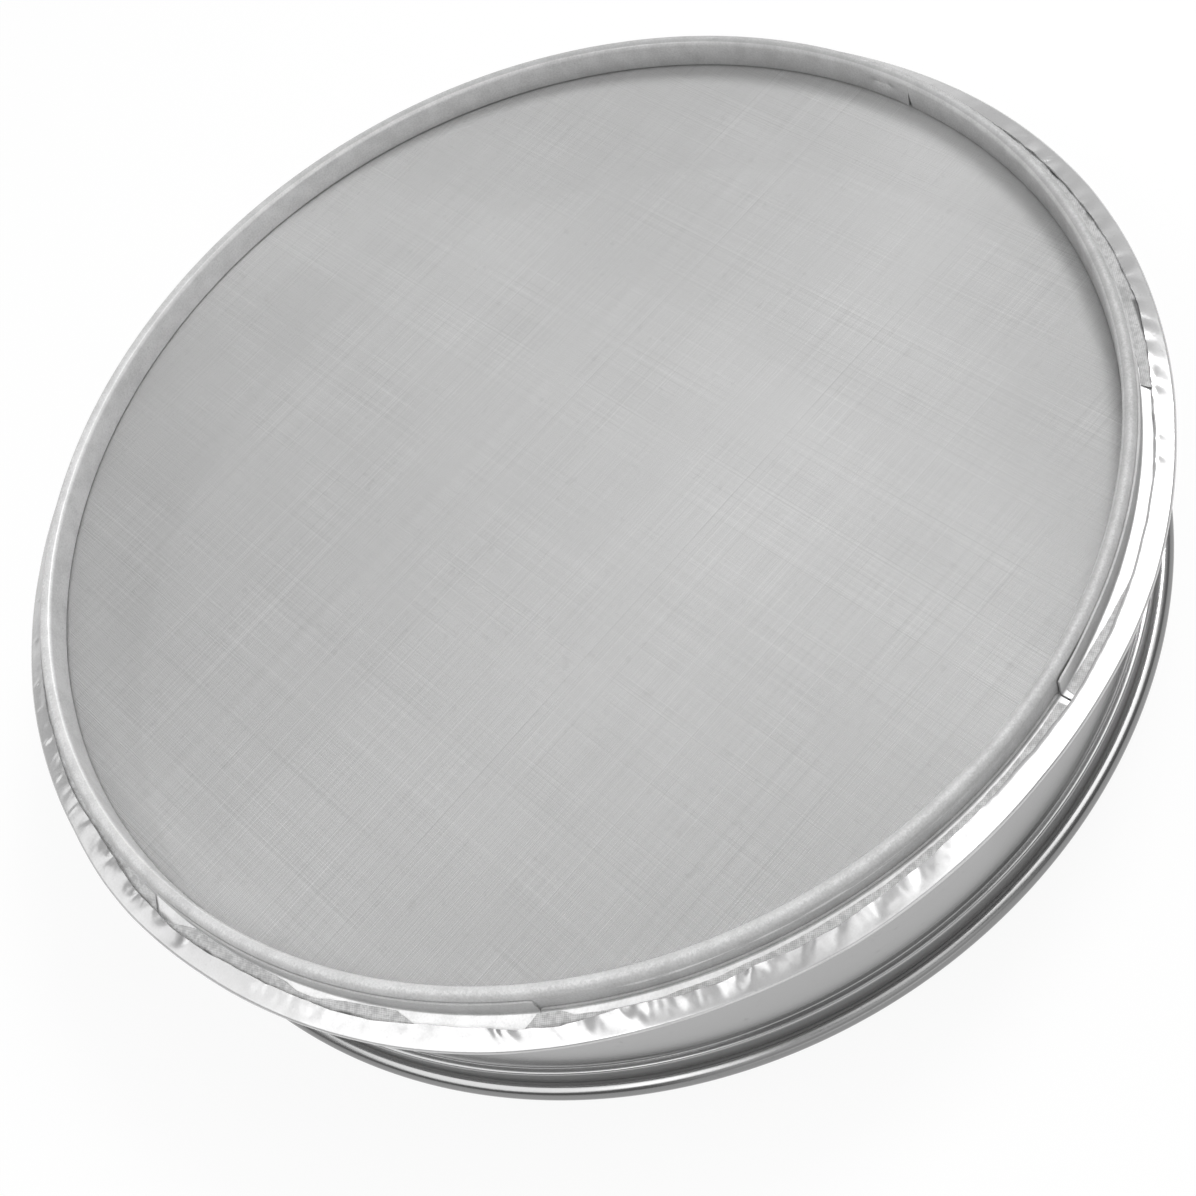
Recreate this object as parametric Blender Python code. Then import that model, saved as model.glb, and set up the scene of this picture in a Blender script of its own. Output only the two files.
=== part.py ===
"""Round hand sieve for soil, turned over on its rim so that the wire cloth faces up.

The drum is one sheet: a rolled rim at the bottom, a step, a plain wall, and at the top a flange
whose edge is folded back over the wire cloth and over the foot of the skirt that stands on it.
Lengths are in metres. X and Y run along the cloth's two sets of wires, and angles about the
Z axis are counted from +X towards +Y.
"""

import math

import bmesh
import bpy
from mathutils import Matrix, Vector

# Stock and clearance
DRUM_SHEET = 0.0005
SKIRT_STRIP = 0.0005
FOOT_STRIP = 0.0005
CLOTH_THICKNESS = 0.0004
CLEARANCE = 0.0003

# Drum
MOUTH_RADIUS = 0.1500
STEP_DEPTH = 0.0018
STEP_RISE = 0.0025
BAND_HEIGHT = 0.0090
DRUM_HEIGHT = 0.0500
BEAD_RADIUS = 0.0020
FLANGE_WIDTH = 0.0078
FLANGE_BEND = 0.0010
LIP_WIDTH = 0.0047

# Cloth and skirt
HEM_WIDTH = 0.0055
OPENINGS_ACROSS = 12
OPENING_WIDTH = 0.0100
OPENING_MARGIN = 0.0020
NEST_CLEARANCE = 0.0010
CREST_WIDTH = 0.0035
SKIRT_HEIGHT = 0.0090
SKIRT_JOINT_ANGLE = math.radians(-2.2)
SKIRT_JOINT_GAP = 0.0006

# Foot strips
LONG_STRAP_HEIGHT = 0.0065
SHORT_STRAP_HEIGHT = 0.0030
LAP_ANGLE = math.radians(-136.7)
SLIT_ANGLE = math.radians(-83.1)
STRIP_END_GAP = 0.0005

# Facets
TURN_FACETS = 72
ROUND_FACETS = 5
CURL_FACETS = 8
BEND_FACETS = 3
WIRE_FACETS = 8
MERGE_DISTANCE = 0.000001

# Places worked out from the sizes above
BAND_CENTRE = MOUTH_RADIUS + DRUM_SHEET / 2
WALL_INNER = MOUTH_RADIUS - STEP_DEPTH
WALL_CENTRE = WALL_INNER + DRUM_SHEET / 2
FLANGE_EDGE = WALL_INNER + DRUM_SHEET + FLANGE_WIDTH
CLOTH_BOTTOM = DRUM_HEIGHT + DRUM_SHEET + CLEARANCE
FOOT_BOTTOM = CLOTH_BOTTOM + CLOTH_THICKNESS + CLEARANCE
HEM_BOTTOM = FOOT_BOTTOM + FOOT_STRIP + CLEARANCE
LIP_BOTTOM = HEM_BOTTOM + CLOTH_THICKNESS + CLEARANCE
FOLD_RADIUS = (LIP_BOTTOM + DRUM_SHEET - DRUM_HEIGHT) / 2
FOLD_CENTRE = FLANGE_EDGE - FOLD_RADIUS
FOLD_HEIGHT = DRUM_HEIGHT + FOLD_RADIUS
STRAP_OUTER = MOUTH_RADIUS - NEST_CLEARANCE
SKIRT_OUTER = STRAP_OUTER - FOOT_STRIP - CLEARANCE
GRID_RADIUS = SKIRT_OUTER - CREST_WIDTH - OPENING_MARGIN
OPENING_PITCH = 2 * GRID_RADIUS / OPENINGS_ACROSS
FACET_ANGLE = math.pi / ROUND_FACETS
FACET_REACH = math.cos(FACET_ANGLE / 2)


def clear_scene():
    """Remove every object of the open scene."""
    for thing in list(bpy.data.objects):
        bpy.data.objects.remove(thing, do_unlink=True)


def finish(name, colour, roughness, metallic):
    """Return a plain Principled material."""
    material = bpy.data.materials.new(name)
    material.use_nodes = True
    shader = material.node_tree.nodes["Principled BSDF"]
    shader.inputs["Base Color"].default_value = (*colour, 1.0)
    shader.inputs["Roughness"].default_value = roughness
    shader.inputs["Metallic"].default_value = metallic
    return material


def arc(centre, radius, start, sweep, facets):
    """Return points (radius, height) along an arc, both ends included."""
    points = []
    for index in range(facets + 1):
        angle = start + sweep * index / facets
        points.append((centre[0] + radius * math.cos(angle), centre[1] + radius * math.sin(angle)))
    return points


def sheet_outline(path, thickness):
    """Return the closed outline of a sheet whose middle follows the path."""
    points = [Vector(point) for point in path]
    runs = [after - before for before, after in zip(points, points[1:])]
    sides = [Vector((-run.y, run.x)).normalized() for run in runs]
    left = []
    right = []
    for point, side_in, side_out in zip(points, sides[:1] + sides, sides + sides[-1:]):
        mitre = (side_in + side_out).normalized()
        reach = mitre * (thickness / 2 / mitre.dot(side_in))
        left.append(point + reach)
        right.append(point - reach)
    return left + right[::-1]


def turned(name, outline, material, start=0.0, sweep=math.tau):
    """Turn a closed outline (radius, height) about the Z axis into one solid object and return it."""
    shape = bmesh.new()
    corners = [shape.verts.new((radius, 0.0, height)) for radius, height in outline]
    edges = [shape.edges.new((corner, corners[index - 1])) for index, corner in enumerate(corners)]
    bmesh.ops.rotate(shape, verts=corners, matrix=Matrix.Rotation(start, 3, "Z"))
    whole = sweep == math.tau
    steps = math.ceil(TURN_FACETS * sweep / math.tau)
    bmesh.ops.spin(shape, geom=edges, axis=(0, 0, 1), angle=sweep, steps=steps, use_merge=whole)
    bmesh.ops.remove_doubles(shape, verts=shape.verts, dist=MERGE_DISTANCE)
    poles = [corner for corner in shape.verts if corner.co.xy.length < MERGE_DISTANCE]
    bmesh.ops.dissolve_verts(shape, verts=poles)
    if not whole:
        ends = [edge for edge in shape.edges if edge.is_boundary]
        bmesh.ops.holes_fill(shape, edges=ends, sides=0)
    bmesh.ops.recalc_face_normals(shape, faces=shape.faces)
    mesh = bpy.data.meshes.new(name)
    shape.to_mesh(mesh)
    shape.free()
    mesh.materials.append(material)
    mesh.shade_smooth()
    mesh.set_sharp_from_angle(angle=FACET_ANGLE)
    thing = bpy.data.objects.new(name, mesh)
    bpy.context.scene.collection.objects.link(thing)
    return thing


def cut(thing, blocks):
    """Cut the blocks out of an object and remove them."""
    modifier = thing.modifiers.new("openings", "BOOLEAN")
    modifier.operation = "DIFFERENCE"
    modifier.object = blocks
    graph = bpy.context.evaluated_depsgraph_get()
    thing.data = bpy.data.meshes.new_from_object(thing.evaluated_get(graph))
    thing.modifiers.clear()
    bpy.data.objects.remove(blocks, do_unlink=True)


def bead_centre():
    """Return the radius and height of the middle of the rolled rim, whose lowest facet is at zero."""
    middle = BEAD_RADIUS - DRUM_SHEET / 2
    return MOUTH_RADIUS + BEAD_RADIUS, middle * FACET_REACH + DRUM_SHEET / 2


def build_drum(material):
    """Drum sheet from the lip round the fold, down the wall and step, to the rolled rim."""
    half = DRUM_SHEET / 2
    lip = (FLANGE_EDGE - LIP_WIDTH, LIP_BOTTOM + half)
    fold = arc((FOLD_CENTRE, FOLD_HEIGHT), FOLD_RADIUS - half, math.pi / 2, -math.pi, ROUND_FACETS)
    bend_centre = (WALL_CENTRE + FLANGE_BEND, DRUM_HEIGHT + half - FLANGE_BEND)
    bend = arc(bend_centre, FLANGE_BEND, math.pi / 2, math.pi / 2, BEND_FACETS)
    step = [(WALL_CENTRE, BAND_HEIGHT + STEP_RISE), (BAND_CENTRE, BAND_HEIGHT)]
    curl = arc(bead_centre(), BEAD_RADIUS - half, math.pi, CURL_FACETS * FACET_ANGLE, CURL_FACETS)
    turned("drum_shell", sheet_outline([lip] + fold + bend + step + curl, DRUM_SHEET), material)


def build_rim_wire(material):
    """Wire that the rim is rolled round."""
    radius = BEAD_RADIUS - DRUM_SHEET - CLEARANCE
    facet = math.tau / WIRE_FACETS
    outline = arc(bead_centre(), radius, facet / 2, math.tau - facet, WIRE_FACETS - 1)
    turned("rim_wire", outline, material)


def build_opening_blocks():
    """Return one object of the blocks that open the cloth in a plain grid, inside the skirt."""
    middle = (OPENINGS_ACROSS - 1) / 2
    rows = [(index - middle) * OPENING_PITCH for index in range(OPENINGS_ACROSS)]
    half = OPENING_WIDTH / 2
    size = Matrix.Diagonal((OPENING_WIDTH, OPENING_WIDTH, 2 * CLOTH_THICKNESS, 1.0))
    shape = bmesh.new()
    for x in rows:
        for y in rows:
            if math.hypot(abs(x) + half, abs(y) + half) <= GRID_RADIUS:
                place = Matrix.Translation((x, y, CLOTH_BOTTOM + CLOTH_THICKNESS / 2))
                bmesh.ops.create_cube(shape, size=1.0, matrix=place @ size)
    mesh = bpy.data.meshes.new("opening_blocks")
    shape.to_mesh(mesh)
    shape.free()
    blocks = bpy.data.objects.new("opening_blocks", mesh)
    bpy.context.scene.collection.objects.link(blocks)
    return blocks


def build_cloth(material):
    """Wire cloth disc with its edge turned up round the foot and back over it.

    The weave is far too fine for a solid, so a plain grid of openings stands for it.
    """
    height = CLOTH_BOTTOM + CLOTH_THICKNESS / 2
    radius = FOLD_HEIGHT - height
    turn = arc((FOLD_CENTRE, FOLD_HEIGHT), radius, -math.pi / 2, math.pi, ROUND_FACETS)
    hem = (FLANGE_EDGE - HEM_WIDTH, FOLD_HEIGHT + radius)
    outline = sheet_outline([(0.0, height)] + turn + [hem], CLOTH_THICKNESS)
    cut(turned("sieve_cloth", outline, material), build_opening_blocks())


def build_skirt(material):
    """Skirt strip bent over at its crest, closed by a butt joint."""
    middle = (CREST_WIDTH - SKIRT_STRIP) / 2
    centre = SKIRT_OUTER - CREST_WIDTH / 2
    height = FOOT_BOTTOM + SKIRT_HEIGHT - middle * FACET_REACH - SKIRT_STRIP / 2
    crest = arc((centre, height), middle, math.pi, -math.pi, ROUND_FACETS)
    path = [(centre - middle, FOOT_BOTTOM)] + crest + [(centre + middle, FOOT_BOTTOM)]
    gap = SKIRT_JOINT_GAP / SKIRT_OUTER
    outline = sheet_outline(path, SKIRT_STRIP)
    turned("skirt_ring", outline, material, SKIRT_JOINT_ANGLE + gap / 2, math.tau - gap)


def build_foot_strip(name, strap_height, start, end, material):
    """Angle strip: a strap up the skirt and a foot held under the lip."""
    radius = STRAP_OUTER - FOOT_STRIP / 2
    foot = FOOT_BOTTOM + FOOT_STRIP / 2
    path = [(radius, FOOT_BOTTOM + strap_height), (radius, foot), (FOLD_CENTRE, foot)]
    gap = STRIP_END_GAP / STRAP_OUTER
    turned(name, sheet_outline(path, FOOT_STRIP), material, start + gap / 2, end - start - gap)


def build_sieve():
    """Build every piece of the sieve."""
    clear_scene()
    stainless = finish("stainless_sheet", (0.62, 0.62, 0.62), 0.3, 1.0)
    wire = finish("rim_wire_steel", (0.5, 0.5, 0.5), 0.45, 1.0)
    cloth = finish("wire_cloth", (0.52, 0.52, 0.52), 0.55, 0.8)
    skirt = finish("galvanised_skirt", (0.55, 0.56, 0.56), 0.42, 1.0)
    foot = finish("galvanised_foot", (0.66, 0.66, 0.66), 0.38, 1.0)
    build_drum(stainless)
    build_rim_wire(wire)
    build_cloth(cloth)
    build_skirt(skirt)
    build_foot_strip("foot_strip_long", LONG_STRAP_HEIGHT, SLIT_ANGLE, LAP_ANGLE + math.tau, foot)
    build_foot_strip("foot_strip_short", SHORT_STRAP_HEIGHT, LAP_ANGLE, SLIT_ANGLE, foot)


build_sieve()
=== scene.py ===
"""Looks of a round soil sieve that stands on its rolled rim with the wire cloth facing up.

Lengths are in metres and angles in radians. X and Y run along the cloth's two sets of wires, and
angles about the Z axis are counted from +X towards +Y.
"""

import bisect
import logging
import math
import random
from collections.abc import Callable
from dataclasses import dataclass
from enum import Enum
from functools import cached_property, reduce

import bmesh
import bpy
from bpy.types import Material, Node, NodeOutputs, NodeSocket, NodeTree, Object
from mathutils import Matrix, Vector, noise


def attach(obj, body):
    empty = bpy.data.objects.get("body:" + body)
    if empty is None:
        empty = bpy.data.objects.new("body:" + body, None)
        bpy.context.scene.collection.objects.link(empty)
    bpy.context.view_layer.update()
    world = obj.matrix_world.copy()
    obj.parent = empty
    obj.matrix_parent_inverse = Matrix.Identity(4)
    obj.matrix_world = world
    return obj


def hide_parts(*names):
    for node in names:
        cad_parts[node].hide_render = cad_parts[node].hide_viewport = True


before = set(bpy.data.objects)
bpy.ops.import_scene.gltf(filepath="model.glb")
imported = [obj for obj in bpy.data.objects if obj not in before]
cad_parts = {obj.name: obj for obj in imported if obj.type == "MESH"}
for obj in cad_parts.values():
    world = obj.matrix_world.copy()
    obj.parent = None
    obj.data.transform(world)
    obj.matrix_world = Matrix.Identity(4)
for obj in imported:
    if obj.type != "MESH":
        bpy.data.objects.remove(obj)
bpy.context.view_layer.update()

Point = tuple[float, float]
Outline = list[Point]
Value = float | tuple | NodeSocket

BODY = "root"
SHARP_ANGLE = math.radians(38)
MILLIMETRE = 0.001
FOOT_SLOPE = 0.18
WIRE_TONE = "wire_tone"
LOG = logging.getLogger("soil_sieve")


def degrees(*values: float) -> tuple[float, ...]:
    """Return angles given in degrees as radians."""
    return tuple(math.radians(value) for value in values)


def smooth(share: float) -> float:
    """Return a share held between 0 and 1 with eased ends."""
    share = min(max(share, 0.0), 1.0)
    return share * share * (3.0 - 2.0 * share)


def turn_between(angle: float, centre: float) -> float:
    """Return the signed turn from the centre to the angle, by the shorter way."""
    return (angle - centre + math.pi) % math.tau - math.pi


def ripple(angle: float, waves: float, seed: float) -> float:
    """Return smooth noise round the circle, from about -1 to 1, with about so many waves to a turn."""
    reach = waves / math.tau
    return noise.noise(Vector((reach * math.cos(angle), reach * math.sin(angle), seed)))


@dataclass(frozen=True)
class RaggedEdge:
    """Hand-trimmed edge of straight stretches, from sets of (corners, depth, seed)."""

    jags: tuple[tuple[int, float, int], ...]

    @cached_property
    def knots(self) -> list[list[float]]:
        """Return each set's seeded offsets, one for each corner."""
        draws = [(random.Random(seed), corners, depth) for corners, depth, seed in self.jags]
        return [[draw.uniform(-depth, depth) for _ in range(corners)] for draw, corners, depth in draws]

    def at(self, angle: float) -> float:
        """Return the edge's offset from its line.

        Args:
            angle: Place on the circle.

        Returns:
            The offset in metres.
        """
        total = 0.0
        for knots in self.knots:
            place = (angle % math.tau) / math.tau * len(knots)
            first = int(place) % len(knots)
            share = place - int(place)
            total += knots[first] * (1 - share) + knots[(first + 1) % len(knots)] * share
        return total


@dataclass(frozen=True)
class Trace:
    """Line cut round the circle, listed as corners of (degrees, millimetres)."""

    corners: tuple[Point, ...]

    def at(self, angle: float) -> float:
        """Return the line's distance at an angle.

        Args:
            angle: Place on the circle, in radians.

        Returns:
            The distance in metres.
        """
        first = self.corners[0]
        place = (math.degrees(angle) - first[0]) % 360.0 + first[0]
        closed = (*self.corners, (first[0] + 360.0, first[1]))
        stretches = zip(closed, closed[1:])
        (start, low), (end, high) = next(pair for pair in stretches if place <= pair[1][0])
        share = (place - start) / (end - start)
        return (low + (high - low) * share) * MILLIMETRE


def arc(centre: Point, radius: float, start: float, sweep: float, facets: int) -> Outline:
    """Return points along an arc that turns by the sweep from its start, both ends included."""
    angles = [start + sweep * index / facets for index in range(facets + 1)]
    return [(centre[0] + radius * math.cos(a), centre[1] + radius * math.sin(a)) for a in angles]


def carried_on(point: Point, way: float, radius: float, sweep: float, facets: int) -> Outline:
    """Return an arc that carries on from a point whose normal points that way, without the point."""
    centre = (point[0] - radius * math.cos(way), point[1] - radius * math.sin(way))
    return arc(centre, radius, way, sweep, facets)[1:]


def bend(before: Point, corner: Point, after: Point, radius: float, facets: int) -> Outline:
    """Return points that round a corner off.

    Args:
        before: A point on the run that comes in.
        corner: The sharp corner.
        after: A point on the run that goes out.
        radius: Radius of the bend.
        facets: Number of straight stretches in the bend.

    Returns:
        The points of the bend, in order.
    """
    middle = Vector(corner)
    inward = (Vector(before) - middle).normalized()
    outward = (Vector(after) - middle).normalized()
    half = inward.angle(outward) / 2
    centre = middle + (inward + outward).normalized() * (radius / math.sin(half))
    start = middle + inward * (radius / math.tan(half)) - centre
    end = middle + outward * (radius / math.tan(half)) - centre
    sweep = (math.pi - 2 * half) * math.copysign(1.0, start.cross(end))
    return arc(tuple(centre), radius, math.atan2(start.y, start.x), sweep, facets)


def sheet_outline(path: Outline, thickness: float) -> Outline:
    """Return the closed outline of a sheet whose middle follows a path.

    Args:
        path: Middle of the sheet as (radius, height) points.
        thickness: Thickness of the sheet.

    Returns:
        The outline's points in order.
    """
    points = [Vector(point) for point in path]
    runs = [after - before for before, after in zip(points, points[1:])]
    sides = [Vector((-run.y, run.x)).normalized() for run in runs]
    left = []
    right = []
    for point, side_in, side_out in zip(points, sides[:1] + sides, sides + sides[-1:]):
        mitre = (side_in + side_out).normalized()
        reach = mitre * (thickness / 2 / mitre.dot(side_in))
        left.append(tuple(point + reach))
        right.append(tuple(point - reach))
    return left + right[::-1]


@dataclass(frozen=True)
class Span:
    """Stretch of the circle that a turned piece covers."""

    start: float = 0.0
    sweep: float = math.tau
    steps: int = 720

    def closed(self) -> bool:
        """Say whether the stretch is the whole circle."""
        return math.isclose(self.sweep, math.tau)

    def angles(self) -> list[float]:
        """Return the angle of each section, from start to end."""
        count = self.steps if self.closed() else self.steps + 1
        return [self.start + self.sweep * index / self.steps for index in range(count)]


def new_piece(name: str, points: list[tuple], faces: list[tuple]) -> Object:
    """Make a smooth-shaded object whose faces point outwards.

    Args:
        name: Name of the piece.
        points: Corners in metres.
        faces: Corner numbers of each face.

    Returns:
        The new object, at the origin.
    """
    mesh = bpy.data.meshes.new(name)
    mesh.from_pydata(points, [], faces)
    shape = bmesh.new()
    shape.from_mesh(mesh)
    bmesh.ops.recalc_face_normals(shape, faces=shape.faces)
    shape.to_mesh(mesh)
    shape.free()
    mesh.shade_smooth()
    mesh.set_sharp_from_angle(angle=SHARP_ANGLE)
    piece = bpy.data.objects.new(name, mesh)
    bpy.context.scene.collection.objects.link(piece)
    return piece


def turned(name: str, section: Callable[[float], Outline], span: Span) -> Object:
    """Sweep a section that may change on its way round the Z axis.

    Args:
        name: Name of the piece.
        section: Gives the closed outline (radius, height) at an angle.
        span: Stretch of the circle to cover.

    Returns:
        The new closed piece.
    """
    points = []
    angles = span.angles()
    for angle in angles:
        across, along = math.cos(angle), math.sin(angle)
        points += [(radius * across, radius * along, height) for radius, height in section(angle)]
    width = len(points) // len(angles)
    faces = []
    for step in range(span.steps):
        near = step * width
        far = (step + 1) % len(angles) * width
        for index in range(width):
            after = (index + 1) % width
            faces.append((near + index, near + after, far + after, far + index))
    if not span.closed():
        last = len(points) - width
        faces += [tuple(range(width)), tuple(range(last, last + width))]
    return new_piece(name, points, faces)


def dressed(piece: Object, finish: Material, node: str) -> Object:
    """Give a piece its finish and its place in the part.

    Args:
        piece: The piece.
        finish: Its material.
        node: CAD node that it replaces.

    Returns:
        The same piece.
    """
    piece.data.materials.clear()
    piece.data.materials.append(finish)
    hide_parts(node)
    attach(piece, BODY)
    return piece


class Nodes:
    """Adds nodes to one tree and links them."""

    def __init__(self, tree: NodeTree) -> None:
        """Take over a tree and empty it."""
        self.tree = tree
        tree.nodes.clear()

    def feed(self, socket: NodeSocket, value: Value) -> None:
        """Link a socket, or set its own value where no socket is given.

        Args:
            socket: The input to feed.
            value: Another node's output, or a plain value.
        """
        if isinstance(value, NodeSocket):
            self.tree.links.new(value, socket)
        else:
            socket.default_value = value

    def add(self, kind: str, inputs: dict | None = None, **settings: object) -> Node:
        """Add a node.

        Args:
            kind: Blender's name for the node.
            inputs: Values or sockets for the node's inputs, by name or number.
            **settings: Values for the node's own settings.

        Returns:
            The new node.
        """
        node = self.tree.nodes.new(kind)
        for name, value in settings.items():
            setattr(node, name, value)
        for key, value in (inputs or {}).items():
            self.feed(node.inputs[key], value)
        return node

    def calc(self, operation: str, *values: Value) -> NodeSocket:
        """Return the result of a Math node."""
        return self.add("ShaderNodeMath", dict(enumerate(values)), operation=operation).outputs[0]

    def product(self, *values: Value) -> NodeSocket:
        """Return the values multiplied together."""
        return reduce(lambda result, value: self.calc("MULTIPLY", result, value), values)

    def vector(self, x: Value, y: Value, z: Value) -> NodeSocket:
        """Return a vector made of three values."""
        return self.add("ShaderNodeCombineXYZ", {0: x, 1: y, 2: z}).outputs[0]

    def axes(self, place: Value) -> NodeOutputs:
        """Return a vector's three values."""
        return self.add("ShaderNodeSeparateXYZ", {0: place}).outputs

    def from_axis(self, place: Value) -> NodeSocket:
        """Return the distance of a point from the Z axis."""
        x, y, _ = self.axes(place)
        return self.calc("SQRT", self.calc("ADD", self.product(x, x), self.product(y, y)))

    def cloud(self, place: Value, scale: Value, detail: float) -> NodeSocket:
        """Return the value of a Noise Texture."""
        inputs = {"Vector": place, "Scale": scale, "Detail": detail}
        return self.add("ShaderNodeTexNoise", inputs).outputs[0]

    def spread(self, value: Value, span: Point, low: Value, high: Value) -> NodeSocket:
        """Return a value eased from one span onto the range from low to high, held at both ends."""
        inputs = {0: value, 1: span[0], 2: span[1], 3: low, 4: high}
        return self.add("ShaderNodeMapRange", inputs, interpolation_type="SMOOTHSTEP").outputs[0]

    def gain(self, mask: Value, full: Value) -> NodeSocket:
        """Return a factor that is 1 where a mask is 0, and its full value where the mask is 1."""
        return self.spread(mask, (0.0, 1.0), 1.0, full)

    def ridge(self, value: Value, centre: float, half: float) -> NodeSocket:
        """Return 1 where a value meets a centre, falling to 0 at half a width on both sides."""
        away = self.calc("ABSOLUTE", self.calc("SUBTRACT", value, centre))
        return self.spread(away, (0.0, half), 1.0, 0.0)


class Effect(Enum):
    """Surface effects that more than one finish uses."""

    STREAKS = "rolled_streaks"
    MOTTLE = "zinc_mottle"
    MARKS = "handling_marks"
    # Painted light: one side of the sieve lighter than the other.
    SIDE_LIGHT = "painted_side_light"


class EffectShelf:
    """Builds each shared effect once, as a shader node group."""

    def __init__(self) -> None:
        """Build the groups."""
        self.groups = {
            Effect.STREAKS: self.streaks(),
            Effect.MOTTLE: self.mottle(),
            Effect.MARKS: self.marks(),
            Effect.SIDE_LIGHT: self.side_light(),
        }

    @staticmethod
    def start(effect: Effect, output: str, **inputs: float) -> tuple:
        """Start a group with a Place vector input.

        Args:
            effect: Names the group.
            output: Name of the one value that the group gives.
            **inputs: Value inputs and their defaults.

        Returns:
            The tree, its node helper, the inputs' sockets by name, and the output's socket.
        """
        tree = bpy.data.node_groups.new(effect.value, "ShaderNodeTree")
        tree.interface.new_socket("Place", in_out="INPUT", socket_type="NodeSocketVector")
        for name, value in inputs.items():
            socket = tree.interface.new_socket(name, in_out="INPUT", socket_type="NodeSocketFloat")
            socket.default_value = value
        tree.interface.new_socket(output, in_out="OUTPUT", socket_type="NodeSocketFloat")
        nodes = Nodes(tree)
        given = nodes.add("NodeGroupInput").outputs
        return tree, nodes, given, nodes.add("NodeGroupOutput").inputs[output]

    def streaks(self) -> NodeTree:
        """Build fine streaks that run round the axis, as rolling and spinning leave them.

        Returns:
            The group.
        """
        tree, nodes, given, result = self.start(Effect.STREAKS, "Streak", Along=9.0, Across=900.0)
        x, y, z = nodes.axes(given["Place"])
        height = nodes.calc("ADD", nodes.from_axis(given["Place"]), z)
        across = nodes.product(height, given["Across"])
        along = [nodes.product(axis, given["Along"]) for axis in (x, y)]
        nodes.feed(result, nodes.cloud(nodes.vector(*along, across), 1.0, 3.0))
        return tree

    def mottle(self) -> NodeTree:
        """Build the grain of a zinc coat: soft clouds of tone with fine speckle in them.

        Returns:
            The group.
        """
        tree, nodes, given, result = self.start(Effect.MOTTLE, "Tone", Cloud=160.0, Grain=1800.0)
        cloud = nodes.cloud(given["Place"], given["Cloud"], 3.0)
        grain = nodes.cloud(given["Place"], given["Grain"], 2.0)
        nodes.feed(result, nodes.calc("MULTIPLY_ADD", grain, 0.5, nodes.product(cloud, 0.5)))
        return tree

    def marks(self) -> NodeTree:
        """Build the soft smudges and small specks that handling leaves.

        Returns:
            The group.
        """
        tree, nodes, given, result = self.start(Effect.MARKS, "Mark", Smudge=28.0, Speck=420.0)
        smudge = nodes.spread(nodes.cloud(given["Place"], given["Smudge"], 4.0), (0.48, 0.72), 0.0, 1.0)
        speck = nodes.spread(nodes.cloud(given["Place"], given["Speck"], 1.0), (0.68, 0.78), 0.0, 1.0)
        nodes.feed(result, nodes.calc("MAXIMUM", nodes.product(smudge, 0.6), speck))
        return tree

    def side_light(self) -> NodeTree:
        """Build painted light: a slow change of tone across the sieve, lighter on one side than on the
        other.

        Returns:
            The group.
        """
        tree, nodes, given, result = self.start(Effect.SIDE_LIGHT, "Gain", Light=1.18, Dark=0.80)
        patch = nodes.product(nodes.cloud(given["Place"], 18.0, 2.0), 0.06)
        across = nodes.calc("ADD", nodes.axes(given["Place"])[0], patch)
        nodes.feed(result, nodes.spread(across, (-0.13, 0.17), given["Light"], given["Dark"]))
        return tree


class Coat:
    """A Principled material under construction, with the shared effects at hand."""

    def __init__(self, name: str, shelf: EffectShelf, metallic: float = 1.0) -> None:
        """Start the material.

        Args:
            name: Name of the material.
            shelf: The shared effects.
            metallic: How metallic the whole surface is.
        """
        self.material = bpy.data.materials.new(name)
        self.material.use_nodes = True
        self.nodes = Nodes(self.material.node_tree)
        self.shelf = shelf
        self.place = self.nodes.add("ShaderNodeTexCoord").outputs["Object"]
        self.shader = self.nodes.add("ShaderNodeBsdfPrincipled", {"Metallic": metallic})
        self.nodes.add("ShaderNodeOutputMaterial", {"Surface": self.shader.outputs[0]})

    @cached_property
    def radius(self) -> NodeSocket:
        """Return the distance from the axis."""
        return self.nodes.from_axis(self.place)

    @cached_property
    def height(self) -> NodeSocket:
        """Return the height above the rim's lower face."""
        return self.nodes.axes(self.place)[2]

    def effect(self, effect: Effect, **sizes: float) -> NodeSocket:
        """Return the value of a shared effect with the given inputs."""
        inputs = {"Place": self.place, **sizes}
        return self.nodes.add("ShaderNodeGroup", inputs, node_tree=self.shelf.groups[effect]).outputs[0]

    def finish(self, tone: Value, roughness: Value, relief: Value, depth: float) -> Material:
        """Feed the shader.

        Args:
            tone: Grey level of the metal.
            roughness: How dull it is.
            relief: Height of the fine relief, from 0 to 1.
            depth: What a relief of 1 stands for, in metres.

        Returns:
            The finished material.
        """
        bump = self.nodes.add("ShaderNodeBump", {"Height": relief, "Distance": depth, "Strength": 1.0})
        fed = {"Base Color": tone, "Roughness": roughness, "Normal": bump.outputs[0]}
        for name, value in fed.items():
            self.nodes.feed(self.shader.inputs[name], value)
        return self.material


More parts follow.
